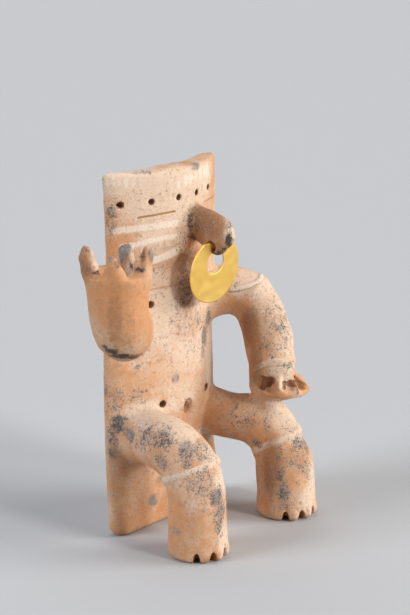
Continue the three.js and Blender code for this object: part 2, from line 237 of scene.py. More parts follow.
# Pulls of the hand on the soft form: where, how far round, and how far along X, Y and Z
PULLS = [
    ((63.8, -50.9, 118.7), 17, (1.4, -1.8, 0)), ((61, -66, 99), 11, (-2.4, 3.1, 0)),
    ((58, -70, 52), 15, (-1.5, 1.9, 0)), ((40, -38, 91), 13, (-1.7, 2.1, 0)),
    ((6, -41, 206), 8, (0.8, -1.0, 1.5)), ((-109, -18, 199), 10, (-1.9, 1.2, 0.5)),
    ((-107, -16, 191), 7, (-1.2, 0.8, 0)), ((-108.5, -41, 204), 6, (-0.3, -0.2, 2.2)),
    ((-105, -18, 207), 5, (-0.5, 0.3, 0.8)), ((-50, 2, 240), 15, (-0.6, 0.3, 1.3)),
    ((-55, 6, 239), 7, (-0.9, 0.4, 0.8)), ((-79, -27, 208), 10, (1.0, -1.3, -4.6)),
    ((-108, -30, 193), 6, (0.8, 0.6, -2.6)), ((-11, -5, 240), 14, (0, 0, 1.6)),
    ((4, -1, 240), 7, (0, 0, 1.0)), ((40, -3, 240), 24, (0, 0, 1.7)),
    ((-54, 4, 8), 8, (-0.8, 0, 0)), ((22.5, -12, 84.5), 14, (4.9, 2.3, -1.5)),
    ((-81, -49, 206), 8, (-0.5, 0.6, 2.2)),
]

# Holes whose mouths were pierced square to the curved face: middle, the way along the face,
# and how much wider the mouth is that way than a hole bored straight back
HOLE_MOUTHS = [((-48.5, -0.5, 220.5), (0.8, -0.6, 0), 0.74), ((27.4, -9.7, 83), (0.92, 0.4, 0), 2.1),
               ((28, -10, 220.5), (0.9, 0.44, 0), 1.25)]


def pat_of_clay(middle, half, turn):
    """One rounded pat of clay with the given half sizes."""
    bpy.ops.object.select_all(action="DESELECT")
    bpy.ops.mesh.primitive_uv_sphere_add(segments=24, ring_count=14, radius=MM, scale=half,
                                         location=Vector(middle) * MM, rotation=(0, 0, turn))
    return bpy.context.active_object


def packed_clay():
    """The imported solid, with its joins closed, on its own and free of the frame's tags."""
    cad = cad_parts["clay_figure"]
    clay = cad.copy()
    clay.data = cad.data.copy()
    clay.name = clay.data.name = "fired_clay_figure"
    for key in list(clay.keys()):
        del clay[key]
    clay.parent = None
    clay.matrix_world.identity()
    scene.collection.objects.link(clay)
    clay.data.materials.clear()
    only(clay)
    bpy.ops.object.mode_set(mode="EDIT")
    bpy.ops.mesh.select_all(action="SELECT")
    bpy.ops.mesh.remove_doubles(threshold=0.01 * MM)
    bpy.ops.mesh.normals_make_consistent(inside=False)
    bpy.ops.object.mode_set(mode="OBJECT")
    return clay


def add_pats(clay):
    """Joins the extra pats on and draws one even skin over the whole."""
    pats = [pat_of_clay(*pat) for pat in PATS]
    only(clay)
    for pat in pats:
        pat.select_set(True)
    bpy.ops.object.join()
    work(clay, "REMESH", mode="VOXEL", voxel_size=SKIN * MM)


def rub_even(clay):
    """Rubs the facets out: least at holes, toes and edges, most where forms flow together."""
    points, outward = points_of(clay), outward_of(clay)
    x, y, z = points.T
    toe_ends = np.zeros(len(points))
    for foot in FEET:
        front = (about(points, foot)[0] < 24) & (y < foot[1])
        toe_ends = np.maximum(toe_ends, front * fade(z, 11, 16))
    soles, top_edge = fade(z, 1, 4), fade(z, 237, 233)
    kept = np.maximum.reduce([near(points, FINE_SPOTS), toe_ends * 0.8, soles * 0.7, top_edge * 0.9])
    even = hold(clay, "even", 1 - 0.85 * kept)
    slab_faces = (abs(x) < 49) & (abs(outward[:, 1]) > 0.9) & (y > -17)
    hand_rim = near(points, [HAND_RIM]) * fade(z, 95, 99) * fade(z, 84, 80)
    broad = np.maximum(slab_faces * 1.0, near(points, FILLETS)) * (1 - kept)
    broad = np.maximum(broad, np.maximum(near(points, FINGER_ROOTS) * 0.5, hand_rim * 0.4))
    broad = hold(clay, "broad", broad * fade(z, 12, 5))
    work(clay, "SMOOTH", factor=0.5, iterations=22, vertex_group=even)
    work(clay, "SMOOTH", factor=0.5, iterations=70, vertex_group=broad)
    clay.vertex_groups.clear()


# The outline of the left hand and knee on the photograph's right: height, and distance along
# ACROSS from the hand's middle
TEMPLATE = [(60, 12.3), (64.5, 9.9), (68.5, 7), (72, 3.4), (75.5, 0.8), (78, 0.6), (79, 9.5),
            (80.4, 16), (82.5, 18.3), (85.5, 19), (89, 16.2), (92.3, 13), (95.5, 9.6), (100, 9.6)]
TEMPLATE_FOOT, TEMPLATE_TOP = 60, 104


def meet_template(points):
    """Presses or draws the clay along ACROSS until its outline meets the template."""
    off = points - (*HAND_MIDDLE, 0)
    out, inward, z = off @ ACROSS, off @ INWARD, points[:, 2]
    here = (abs(inward) < 26) & (out > -14) & (z > TEMPLATE_FOOT - 2) & (z < TEMPLATE_TOP + 1)
    levels = np.arange(TEMPLATE_FOOT, TEMPLATE_TOP, 1.0)
    reach = np.array([out[here & (abs(z - level) < 0.8)].max() for level in levels])
    wanted = np.interp(levels, *zip(*TEMPLATE))
    move = np.interp(z, levels, np.clip(wanted - reach, -6, 6))
    move = move * fade(z, TEMPLATE_FOOT + 2, TEMPLATE_FOOT) * fade(z, TEMPLATE_TOP - 4, TEMPLATE_TOP)
    share = fade(np.interp(z, levels, reach) - out, 0, 10) * here
    points += np.outer(move * share, ACROSS)


def pull(clay):
    """Larger moves of the form, as with a grab brush."""
    points = points_of(clay)
    for middle, radius, move in PULLS:
        away = np.linalg.norm(points - middle, axis=1)
        points += np.outer(fade(away, 0, radius), move)
    meet_template(points)
    x, y, z = points.T
    share = fade(x, -54, -40) * fade(y, -8, -15) * (x > -62)
    proud = np.interp(z, EDGE_HEIGHTS, EDGE_PROUD)
    points[:, 0] -= share * proud
    points[:, 1] += share * proud * 0.4 * fade(y, 4, -6)
    set_points(clay, points)


def refine(clay, share):
    """Cuts the faces once more where share is above a half, for finer work there."""
    clay.data.polygons.foreach_set("select", np.zeros(len(clay.data.polygons), bool))
    clay.data.edges.foreach_set("select", np.zeros(len(clay.data.edges), bool))
    clay.data.vertices.foreach_set("select", share > 0.5)
    only(clay)
    bpy.ops.object.mode_set(mode="EDIT")
    bpy.ops.mesh.select_mode(type="VERT")
    bpy.ops.mesh.select_mode(type="FACE")
    bpy.ops.mesh.subdivide(number_cuts=1, smoothness=0)
    bpy.ops.mesh.select_all(action="DESELECT")
    bpy.ops.mesh.select_mode(type="VERT")
    bpy.ops.object.mode_set(mode="OBJECT")


def fine_places(points, outward):
    """Where thin strokes, holes, toes and finger hollows need a finer skin."""
    y, z = points[:, 1], points[:, 2]
    share = near(points, [(*hole, 3.4) for hole in PIERCED + PITS] + [NAVEL_SPOT, NOSE_HOLE_SPOT])
    for path in (EYE_RIGHT, EYE_LEFT, JAW, SHOULDER_LINE, SHOULDER_STRIP, WRIST_LINE, WRIST_STRIP):
        share = np.maximum(share, along_stroke(points, outward, path) < 2.6)
    for foot in FEET:
        away = about(points, foot)[0]
        share = np.maximum(share, (away > 14) & (away < 24) & (y < foot[1] + 4) & (z < 11))
    for middle, down in KNEE_BANDS:
        off = points - middle
        share = np.maximum(share, (abs(off @ down) < 2.6) & (np.linalg.norm(off, axis=1) < LEG_REACH))
    fingers = (about(points, HAND_MIDDLE)[0] < 23) & (z > 83) & (z < 98) & (y < -44)
    return np.maximum(share, fingers)


def press(points, outward, path, wide, deep):
    """Draws a groove along a stroke."""
    far = along_stroke(points, outward, path)
    points -= outward * (deep * np.exp(-(far / wide) ** 2))[:, None]


def lay(points, outward, path, wide, high):
    """Lays a flat strip of clay along a stroke."""
    far = along_stroke(points, outward, path)
    points += outward * (high * fade(far, wide * 0.35, wide * 0.7))[:, None]


def dent(points, outward, spot, wide, tall, deep):
    """Presses an oval dent, or raises an oval lump where deep is below 0."""
    off = points - spot
    rise = np.einsum("ij,ij->i", off, outward)
    size = np.sqrt((off[:, 0] / wide) ** 2 + (off[:, 2] / tall) ** 2 + (rise / 6) ** 2)
    points -= outward * (deep * fade(size, 0.4, 1.1))[:, None]


def round_holes(points, outward):
    """Trues the pierced holes and pits to the round stick that made them."""
    for (x, y, z), radius in [(hole, HOLE_RADIUS) for hole in PIERCED] + [(pit, PIT_RADIUS) for pit in PITS]:
        out = points[:, [0, 2]] - (x, z)
        away = np.linalg.norm(out, axis=1)
        facing = (out * outward[:, [0, 2]]).sum(1) / np.maximum(away, 0.01)
        wall = (away < 3.4) & (away > 0.5) & (facing < -0.45) & (abs(points[:, 1] - y) < 14)
        wall &= abs(outward[:, 1]) < 0.6
        move = (out * ((radius - away) / np.maximum(away, 0.01))[:, None])[wall]
        points[wall] += np.stack([move[:, 0], np.zeros(len(move)), move[:, 1]], 1)
    for middle, along, wider in HOLE_MOUTHS:
        off = points - middle
        share = np.exp(-(off * (0.22, 0.13, 0.22)) ** 2 @ (1, 1, 1)) * (wider - 1)
        points += np.outer((off @ along) * share, along)


# Left hand: hollows between the fingers, each as its turn about the hand, half its width,
# its lower and upper edge, and its depth; then the ridges of the fingers, each as its turn,
# half its width, how far it stands up, its level and half its height
HAND_HOLLOWS = [(-1.7, 8.4, 87, 96.8, 3.6), (-0.8, 1.5, 88.5, 95, 1.4), (-0.5, 4.0, 89.5, 94.5, 1.2),
                (0.1, 4.0, 86.5, 95.5, 2.8), (0.72, 3, 87.5, 94, 1.6)]
FINGER_RIDGES = [(-1.06, 2.9, 2.7, 93.5, 6), (-0.24, 1.0, 1.3, 90, 7), (0.42, 1.8, 1.2, 90, 7),
                 (-2.35, 2, 0.5, 90, 7)]
WIDE_HOLLOW = 4.5


def hollow_size(turn, z, place, half, low, high):
    """How far out a point lies in one hollow: 0 in the middle, 1 at its squarish, uneven edge.
    The floor of a wide hollow rises on the side where the turn grows."""
    across = (turn - place) * HAND_RADIUS / half
    floor = low + np.maximum(0, turn - place) * HAND_RADIUS * 0.6 * (half > WIDE_HOLLOW)
    up = (z - (floor + high) / 2) / (high - floor) * 2
    return (abs(across) ** 3 + abs(up) ** 3) ** (1 / 3) + 0.12 * np.sin(1.7 * z + 11 * turn)


def left_hand(points):
    """Presses in the hollows between the fingers, with the fingers standing as ridges."""
    away, turn, out = about(points, HAND_MIDDLE)
    z = points[:, 2]
    rim = (away > 11) & (away < 24) & (z > 78) & (z < 102)
    cut = np.zeros(len(points))
    for place, half, low, high, deep in HAND_HOLLOWS:
        size = hollow_size(turn, z, place, half, low, high)
        cut = np.maximum(cut, deep * fade(size, 0.6, 1.12) * rim)
    for place, half, high, level, tall in FINGER_RIDGES:
        across = abs(turn - place) * HAND_RADIUS / half
        ridge = high * fade(across, 0.3, 1.3) * fade(abs(z - level), tall * 0.35, tall)
        cut -= ridge * rim * (cut < 0.3)
    points -= out * cut[:, None]


def past_notch(turn, z, place):
    """How far a point lies outside one arched notch between two toes."""
    arch = NOTCH_HALF_WIDTH * np.sqrt(np.clip(1 - (z / NOTCH_HEIGHT) ** 2, 0, 1))
    return abs(turn - place) * FOOT_RADIUS - arch


def toes(points):
    """Arched notches under the front of each foot, and the rounded toes between them."""
    for foot in FEET:
        away, turn, out = about(points, foot)
        z = points[:, 2]
        front = (away > 12) & (away < 24) & (z < 14)
        cut = np.zeros(len(points))
        for place in TOE_TURNS:
            across = abs(turn - place) * FOOT_RADIUS
            notch = 4 * fade(past_notch(turn, z, place), -0.9, 0.35) * fade(z, 6.6, 7.6)
            swell = 0.55 * np.exp(-((across - 5.6) / 2.4) ** 2) * fade(z, 5, 10)
            crease = 0.35 * np.exp(-(across / 1.2) ** 2) * fade(z, 8, 13)
            cut = np.maximum(cut, notch * front)
            points += out * (swell * front)[:, None]
            points -= out * (crease * front)[:, None]
        points -= out * cut[:, None]


def on_knee_band(points, middle, down, full, none):
    """1 on a band round the leg, counted along the leg from full to none."""
    off = points - middle
    return fade(abs(off @ down), full, none) * (np.linalg.norm(off, axis=1) < LEG_REACH)


def hand_marks(clay):
    """What the potter cut, pressed and laid on by hand, in this order."""
    points, outward = points_of(clay), outward_of(clay)
    round_holes(points, outward)
    press(points, outward, EYE_RIGHT, wide=0.5, deep=0.8)
    press(points, outward, EYE_LEFT, wide=0.5, deep=0.6)
    press(points, outward, JAW, wide=0.8, deep=0.3)
    lay(points, outward, SHOULDER_STRIP, wide=2.6, high=0.55)
    press(points, outward, SHOULDER_LINE, wide=0.7, deep=0.6)
    lay(points, outward, WRIST_STRIP, wide=2.4, high=0.4)
    press(points, outward, WRIST_LINE, wide=0.8, deep=0.25)
    for middle, down in KNEE_BANDS:
        points += outward * (0.4 * on_knee_band(points, middle, down, 0.9, 1.9))[:, None]
    for spot, wide, tall, deep in NAVEL:
        dent(points, outward, spot, wide, tall, deep)
    for path, wide, deep in HAND_CREASES:
        press(points, outward, path, wide, deep)
    left_hand(points)
    toes(points)
    set_points(clay, points)


# Unevenness of the skin: name, size and height
WAVES = [("hand_waves", 24, 0.9), ("rubbed_skin", 6.5, 0.28), ("grit", 1.9, 0.13)]


def unevenness(clay):
    """Slow waves left by the hands and the fine nicks of age; the soles stay flat."""
    for name, size, high in WAVES:
        waves = bpy.data.textures.new(name, "CLOUDS")
        waves.noise_scale = size * MM
        waves.noise_depth = 1
        group = hold(clay, name, fade(points_of(clay)[:, 2], 3, 0.3) * 0.9)
        work(clay, "DISPLACE", texture=waves, texture_coords="LOCAL", strength=high * MM,
             mid_level=0.5, vertex_group=group)
        clay.vertex_groups.clear()
        bpy.data.textures.remove(waves)


# Marks that are painted, worn or stained

# The marks were picked in the photograph, as points and sizes in pixels. A scratch script turned most of
# them to millimetres on the clay and printed these lines, which were then rounded and added to. Each
# holds its middle, half its width along ACROSS, half its height and strength.
# Blue-grey stains of minerals from the ground; the last two are thin grey lines along the top front edge
GREY_BLOTCHES = [
    (-49, -78, 28, 3, 11, 0.6), (-60, -31, 75.5, 9, 5, 0.62), (-59, -41, 77, 6, 5, 0.62),
    (4, -47, 203, 2.5, 3.5, 0.5), (44, -75, 51, 5, 3, 0.6), (11, -13, 238, 2.5, 2.5, 0.9),
    (-32, -7, 240, 4, 1.3, 0.8), (-31, -9, 208, 2.5, 1.3, 0.6), (-5, -15, 204, 1.3, 4.5, 0.45),
    (-4, -15, 190, 1.5, 4, 0.5), (-45, -2, 196, 2.5, 1, 0.5), (-9, -14, 185, 1.3, 2, 0.6),
    (-28, -10, 174, 1.5, 3.5, 0.6), (-29, -9, 159, 2, 2, 0.5), (-10, -14, 147, 1.2, 2.5, 0.6),
    (-14, -13, 139, 1.2, 2.5, 0.6), (33, -6, 130, 1.5, 4.5, 1), (24, -10, 120, 1.5, 6, 1),
    (21, -11, 111, 1.3, 5.5, 0.6), (6, -13, 131, 1.3, 3.5, 0.5), (-12, -14, 100, 2.5, 3, 0.75),
    (-40, -5, 113, 2.5, 1.5, 0.8), (-15, -13, 108, 1.2, 1.3, 0.7), (-37, -7, 96, 3, 1.5, 0.6),
    (-24, -11, 120, 1.3, 1.5, 0.5), (-52, 1, 80, 4.5, 1.6, 1), (-53, 2, 74, 3.5, 3.5, 0.95),
    (-55, 9, 98, 1.3, 4, 0.7), (-55, -11, 72, 3.5, 3.5, 0.9), (-59, -23, 69, 5.5, 4, 0.5),
    (-59, -35, 76, 4.5, 4.5, 0.5), (-57, -43, 78, 4, 4, 0.5), (-22, -8, 31, 2.5, 2.5, 0.75),
    (-28, -7, 18, 2.5, 4, 0.95), (-38, -6, 26, 1.3, 1.5, 0.6), (-15, -7, 2, 2, 1.3, 0.5),
    (-50, -77, 43, 3, 5, 1), (-47, -78, 33, 2.5, 6, 0.9), (-63, -67, 51, 2.5, 3.5, 0.4),
    (48, -58, 69, 2.5, 2, 0.45), (39, -77, 26, 1.2, 2.5, 0.6), (52, -74, 50, 2, 4, 0.6),
    (57, -48, 125, 3.5, 2.5, 0.7), (53, -45, 128, 1.3, 1.5, 0.7), (55, -54, 116, 2.5, 2.5, 0.5),
    (45, -62, 103, 4, 2, 0.5), (55, -40, 137, 2.5, 3.5, 0.45), (-79, -27, 202, 4.5, 6.5, 1),
    (-79, -50, 203, 2, 5, 0.9), (-109, -43, 205, 2, 2, 0.9), (-106, -18, 206, 2.5, 2, 0.5),
    (-35, -7, 240, 9, 0.9, 0.6), (16, -10, 239.5, 12, 0.8, 0.5),
]

# Fields where small black specks crowd, and grey specks laid as the nose ring's painted shadow
SPECKS_AND_RING_SHADOW = [
    (56, -48, 122, 8, 16, 0.5), (27, -38, 68, 12, 8, 0.36), (-48, -78, 28, 4, 12, 0.5),
    # (-1, -14.5, 163) is the nose ring's painted shadow on the slab
    (3, -46, 202, 3, 5, 0.6), (-1, -14.5, 163, 6, 14, 0.75), (-98, -50, 152, 8, 3, 0.5),
    (-53, 4, 216, 2.5, 4, 1), (-52, 4, 207, 2, 3.5, 0.8), (-52, 2, 95, 4.5, 4.5, 0.7),
    (-53, 3, 87, 4, 4, 0.7), (-52, 2, 76, 4.5, 4, 0.9), (-55, 4, 66, 3.5, 5.5, 0.8),
    (-54, 3, 57, 4, 4, 0.9), (-60, -31, 74, 9.5, 6.5, 0.5), (-59, -43, 76, 6, 6, 0.7),
    (-57, -59, 71, 4.5, 6.5, 1), (-60, -62, 66, 3.5, 3.5, 1), (-48, -65, 70, 6, 6, 0.8),
    (-65, -45, 63, 4.5, 3.5, 0.9), (-61, -31, 61, 3.5, 3.5, 0.6), (-56, -73, 52, 5.5, 10.5, 0.8),
    (-49, -78, 38, 4, 9.5, 0.55), (-63, -67, 53, 3.5, 5.5, 0.6), (-66, -57, 20, 3.5, 2.5, 0.9),
    (-64, -69, 25, 2.5, 4, 0.5), (-59, -74, 36, 1.3, 2, 1), (29, -31, 74, 3.5, 2.5, 0.6),
    (25, -31, 67, 6, 4, 0.65), (27, -44, 65, 6, 3.5, 0.8), (28, -47, 65, 2, 1.3, 1),
    (32, -56, 64, 2.5, 6, 0.8), (28, -51, 52, 3.5, 2, 1), (44, -65, 63, 4, 2.5, 0.4),
    (32, -67, 47, 2, 4.5, 0.7), (38, -73, 46, 5, 7, 0.6), (43, -77, 41, 5, 8, 0.75),
    (44, -75, 52, 6, 4, 0.8), (4, -30, 205, 6, 8, 0.4), (35, -73, 42, 6.5, 6.5, 0.35),
    (31, -69, 33, 2.5, 6, 0.9), (32, -71, 21, 3.5, 5.5, 1), (28, -59, 24, 2, 4.5, 0.6),
    (32, -72, 11, 4.5, 2.5, 0.6), (47, -79, 34, 3, 7, 0.7), (50, -75, 49, 3.5, 5.5, 0.7),
    (51, -32, 145, 2.5, 1.5, 0.6), (54, -40, 136, 2.5, 4, 0.55), (61, -42, 138, 3.5, 5.5, 0.5),
    (43, -47, 115, 3.5, 4, 0.7), (44, -53, 112, 3.5, 4, 0.65), (52, -54, 115, 3.5, 3.5, 0.6),
    (45, -61, 104, 4.5, 2.5, 0.55), (45, -21, 152, 2.5, 2, 0.6), (17, -12, 133, 6, 5.5, 0.5),
    (-5, -14, 137, 5.5, 6, 0.5), (10, -13, 117, 5.5, 6.5, 0.5), (-24, -11, 115, 9.5, 6.5, 0.25),
    (-39, -6, 92, 8, 6, 0.5), (1, -24, 209, 2.5, 2.5, 0.4), (-5, -15, 208, 4, 5.5, 0.35),
    (-6, -15, 192, 4, 6.5, 0.5), (-24, -11, 175, 5.5, 5.5, 0.45), (-98, -50, 164, 1.3, 5.5, 0.5),
    (-102, -34, 147, 4, 3.5, 0.4),
]

# Nearly black soot on the nose, the raised hand and the slab's edge, and the nose ring's painted shadow
SOOT_AND_RING_SHADOW = [
    (6, -45, 190, 1.5, 3, 0.9), (3.5, -40, 186, 2.5, 1.5, 0.9), (-86, -46.5, 194, 3, 1.3, 0.85),
    # (1, -14.5, 160) is the nose ring's painted shadow on the slab
    (1, -14.5, 160, 3, 10, 0.62), (-54.5, 6, 213, 1.3, 6, 0.6), (-53.6, 4.6, 205, 1.3, 4, 0.45),
    (0.5, -17, 205, 2, 7, 0.6), (-98, -33, 142, 3.5, 2, 1), (-92, -36, 138, 6, 2, 1),
    (-83, -38, 136, 3.5, 2, 0.9), (-101, -30, 145, 2, 1.5, 0.9), (3, -46, 194, 2, 4, 1),
    (5, -41, 187, 2.5, 2, 0.9), (3, -35, 184, 4, 1.5, 0.9), (31, -9, 176, 2, 1.3, 0.8),
    (-1, -23, 201, 1.5, 4.5, 0.6), (1, -19, 193, 2, 2.5, 0.7), (-76, -34, 191, 3, 2, 0.9),
    (-108, -47, 201, 2, 2.5, 0.7), (-105, -21, 206, 1.6, 2, 0.6), (-103, -27, 192, 3.5, 0.8, 0.9),
    (-84, -47, 202, 1.3, 4, 0.7), (-93, -44, 145, 2, 1.3, 0.5),
]

# Paler places: where the cream slip is whole, the thigh tops, and a painted highlight on the nose's tip
PALE_WASH_AND_HIGHLIGHT = [
    (50, -24, 152, 7, 6, 0.95), (41, -63.5, 94.5, 2.5, 4, 0.8), (-101.5, -23, 199, 2.5, 6, 0.85),
    (-48, -50, 80, 6, 4, 0.8), (-30, -16, 82, 6, 4, 0.7), (-20, -13, 140, 16, 14, 0.6),
    (14, -14, 150, 12, 14, 0.6), (2, -15, 118, 14, 16, 0.4), (64, -40, 140, 10, 14, 0.5),
    (64, -52, 120, 8, 14, 0.5), (-8, -15, 92, 12, 8, 0.4), (52, -62, 66, 8, 8, 0.8),
    # (4, -47, 202) is a painted highlight on the lit side of the nose's tip
    (4, -47, 202, 3, 5, 0.9), (-35, -6, 170, 14, 8, 0.5), (-49, 0, 235, 10.5, 5.5, 0.8),
    (-31, -9, 232, 12, 5.5, 1), (-8, -15, 231, 9.5, 5.5, 1), (20, -13, 230, 6.5, 6.5, 0.8),
    (-31, -9, 219, 13.5, 8, 0.7), (-8, -15, 215, 8, 9.5, 0.7), (14, -14, 225, 6.5, 8, 0.6),
    (-24, -11, 192, 10.5, 6.5, 0.6), (-31, -9, 159, 5.5, 2.5, 0.6), (-20, -12, 156, 6.5, 4, 0.7),
    (-44, -17, 84, 10.5, 4, 1), (-45, -34, 84, 8, 4, 1), (0, -15, 84, 4, 2.5, 0.7),
    (-13, -14, 83, 3.5, 4, 0.6), (-27, -10, 139, 3, 7, 0.5), (-26, -10, 127, 3, 6, 0.4),
    (14, -13, 114, 1.6, 8, 0.8), (33, -7, 107, 1.3, 10.5, 1), (32, -8, 92, 1.3, 5.5, 0.7),
    (55, -29, 153, 5.5, 3.5, 0.6), (56, -34, 147, 4, 4, 0.8), (53, -22, 158, 5.5, 3.5, 0.5),
    (65, -47, 128, 5.5, 10.5, 0.4), (57, -55, 114, 4, 6.5, 0.5), (46, -59, 76, 6, 3.5, 0.9),
    (49, -63, 65, 5.5, 5.5, 0.6), (41, -57, 70, 5.5, 4, 0.5), (52, -80, 22, 2.5, 10.5, 0.6),
    (46, -81, 13, 4, 6.5, 0.6), (-45, -79, 13, 2.5, 8, 0.6), (-40, -74, 51, 3.5, 5.5, 0.6),
    (-42, -68, 67, 4, 5.5, 0.5), (22, -8, 53, 5.5, 2, 0.5), (48, -72, 55, 5.5, 2.5, 0.7),
    (42, -60, 103, 6.5, 4, 0.6), (-75, -30, 201, 1.5, 3.5, 0.5), (-82, -35, 191, 2, 2.5, 0.6),
]

# Places where it is rubbed off down to the orange clay
WORN_ORANGE = [
    (-110, -42, 179, 10.5, 17.5, 1), (-97, -51, 171, 9.5, 17.5, 0.9),
    (-100, -46, 155, 10.5, 9.5, 0.8), (-54, 6, 188, 2, 6.5, 0.8), (-53, 4, 195, 2.5, 4, 0.9),
    (-25, -11, 101, 10.5, 9.5, 0.5), (-40, -6, 8, 9.5, 6.5, 0.7), (-58, -34, 54, 5.5, 3.5, 0.7),
    (-52, -12, 56, 8, 3.5, 0.8), (-61, -32, 60, 4, 2.5, 0.8), (-52, -54, 77, 5.5, 3.5, 0.5),
    (-66, -57, 28, 6.5, 17.5, 0.8), (-61, -73, 23, 5.5, 10.5, 0.5), (24, -23, 69, 4.5, 6, 0.6),
    (22, -15, 69, 4, 8, 0.6), (46, -27, 142, 4, 3.5, 0.6), (28, -52, 59, 6, 3.5, 0.6),
    (35, -75, 28, 3.5, 5.5, 0.8), (29, -58, 34, 4, 9.5, 0.5), (36, -62, 85, 9.5, 2, 0.9),
    (55, -69, 87, 2.5, 2.5, 0.6), (3, -15, 104, 6.5, 10.5, 0.35),
]

# Short white dabs side by side above the brow
CREAM_DABS = [
    (-55, 6, 235, 1.3, 2, 0.75), (-52, 3, 236, 1.3, 2.5, 0.75), (-49, 1, 235, 1.2, 2.5, 0.8),
    (-46, -2, 234, 1.3, 2.5, 1), (-41, -4, 234, 1.2, 2.5, 0.75), (-37, -7, 234, 1.2, 2.5, 0.65),
    (-31, -9, 234, 1.1, 2.5, 0.4), (-9, -15, 229, 1.3, 2.5, 0.7), (-2, -15, 231, 1.1, 3.5, 0.75),
    (3.5, -15, 231, 1, 3.5, 0.8), (9, -14.5, 231.5, 0.9, 3.5, 0.75), (20, -13, 232, 0.8, 3, 0.7),
    (14.5, -14, 232, 0.9, 3.5, 0.75), (25.5, -11, 232, 0.8, 3.5, 0.7),
]

# Places that fire and handling have browned; painted shade on the toes and the left arm's inner side;
# and the nose ring's painted shadow on the slab
UMBER_AND_PAINTED_SHADE = [
    (-22, -12, 184, 18, 9, 0.58), (2, -14, 134, 14, 10, 0.56), (60, -45, 135, 8, 16, 0.38),
    # (-55, -77, 2) and (42, -80, 2) are painted shade on the toes, low down
    (20, -25, 70, 8, 8, 0.45), (-55, -77, 2, 4, 4, 0.8), (42, -80, 2, 4, 3, 0.6),
    # (-0.5, -14.5, 161) is the nose ring's painted shadow on the slab
    (-109.5, -45.5, 166, 4.5, 20, 0.66), (-0.5, -14.5, 161, 6, 15, 1),
    (-105.5, -18.5, 197, 4, 9, 0.95), (-84, -47, 200, 2, 6, 0.8), (0.5, -14.6, 77.5, 3.5, 5, 0.6),
    # (45, -33, 125) here and (36, -44, 116) below are painted shade on the left arm's inner side
    (-109, -42, 199, 2.5, 5, 0.35), (45, -33, 125, 5, 11, 0.95), (3, -26, 208, 7, 8, 1),
    (4, -34, 203, 7, 9, 1), (4, -38, 200, 5, 6, 0.6), (2, -22, 198, 5, 8, 1),
    (4, -36, 191, 5, 4, 0.8), (36, -44, 116, 4, 20, 0.8), (33, -60, 38, 5, 18, 0.85),
    (50, -43, 122, 5, 14, 0.55),
]


def dabs(points, marks):
    """How much of a mark each point carries: whole well inside it, gone at twice its size."""
    shade = np.zeros(len(points))
    for x, y, z, wide, tall, strength in marks:
        off = points - (x, y, z)
        size = np.sqrt((off @ ACROSS / wide) ** 2 + (off[:, 2] / tall) ** 2
                       + (off @ INWARD / (max(wide, tall) + 4)) ** 2)
        shade = np.maximum(shade, strength * np.clip(1.55 - size * 0.75, 0, 1))
    return shade


def strokes(points, outward, paths, full, none):
    """How much of a drawn line each point carries; each path comes with its strength."""
    shade = np.zeros(len(points))
    for path, strength in paths:
        shade = np.maximum(shade, fade(along_stroke(points, outward, path), full, none) * strength)
    return shade


# The brown laid in holes, pits and the navel is partly painted shade
def in_holes(points, outward):
    """1 on the walls of the holes and pits, a little less in the navel."""
    shade = np.zeros(len(points))
    for x, y, z in PIERCED + PITS:
        away = np.hypot(points[:, 0] - x, points[:, 2] - z)
        inside = np.maximum(fade(abs(outward[:, 1]), 0.5, 0.85), fade(-points[:, 1], -y - 1.5, -y))
        shade = np.maximum(shade, fade(away, 2.4, 3.0) * inside * (abs(points[:, 1] - y) < 12))
    navel = np.hypot((points[:, 0] - 0.5) / 4.2, (points[:, 2] - 76.8) / 4.8)
    return np.maximum(shade, fade(navel, 0.7, 1.15) * (points[:, 1] < -9) * 0.7)


# The brown laid in the toe notches and the left hand's hollows is partly painted shade
def in_cuts(points):
    """How much a point lies in a notch of the toes or a hollow of the left hand."""
    shade = np.zeros(len(points))
    y, z = points[:, 1], points[:, 2]
    for foot in FEET:
        away, turn, _ = about(points, foot)
        front = (z < 7.6) & (y - foot[1] < 4) & (away < 22)
        for place in TOE_TURNS:
            shade = np.maximum(shade, fade(past_notch(turn, z, place), -0.4, 0.5) * front * 0.9)
    away, turn, _ = about(points, HAND_MIDDLE)
    rim = (away < 22) & (y - HAND_MIDDLE[1] < 6)
    for place, half, low, high, _ in HAND_HOLLOWS:
        size = hollow_size(turn, z, place, half, low, high)
        shade = np.maximum(shade, fade(size, 0.75, 1.15) * rim * 0.95)
    return shade


def keep(clay, name, values):
    """Stores a mark on the clay's points, where the material reads it by name."""
    layer = clay.data.attributes.new(name, "FLOAT", "POINT")
    layer.data.foreach_set("value", np.clip(values, 0, 1).astype(np.float32))


